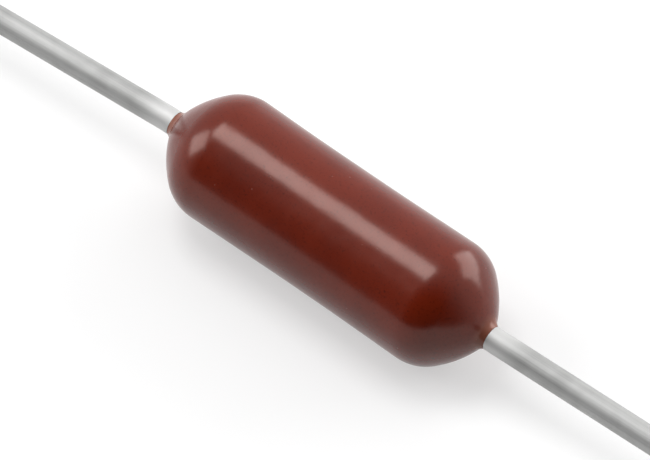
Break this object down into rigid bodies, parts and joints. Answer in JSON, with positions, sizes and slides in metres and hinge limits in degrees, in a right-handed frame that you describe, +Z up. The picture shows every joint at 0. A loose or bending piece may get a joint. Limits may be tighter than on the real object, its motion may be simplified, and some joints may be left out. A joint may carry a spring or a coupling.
{
  "type": "metal film resistor",
  "caption": "Axial-lead film resistor: a slim brown coated body with rounded ends and a straight tinned wire lead out of each end.",
  "frame": {"origin": "on the plane the part lies on, under the middle of the body", "axes": "+X along the body's axis towards the right lead, +Y across it, +Z up"},
  "size_m": [0.0858, 0.0042, 0.0033],
  "materials": {
    "epoxy_coat": "glossy reddish-brown cured epoxy, slightly uneven",
    "tinned_wire": "satin tin plate on drawn copper",
    "cap_steel": "bright drawn plated steel",
    "alumina": "fine matte white ceramic",
    "resistive_film": "thin grey nickel-chromium film",
    "lacquer": "amber insulating lacquer"
  },
  "bodies": {
    "root": {"outer_coat": "epoxy_coat", "undercoat": "lacquer", "ceramic_core": "alumina", "metal_film": "resistive_film", "end_cap_left": "cap_steel", "end_cap_right": "cap_steel", "lead_left": "tinned_wire", "lead_right": "tinned_wire"}
  },
  "joints": []
}
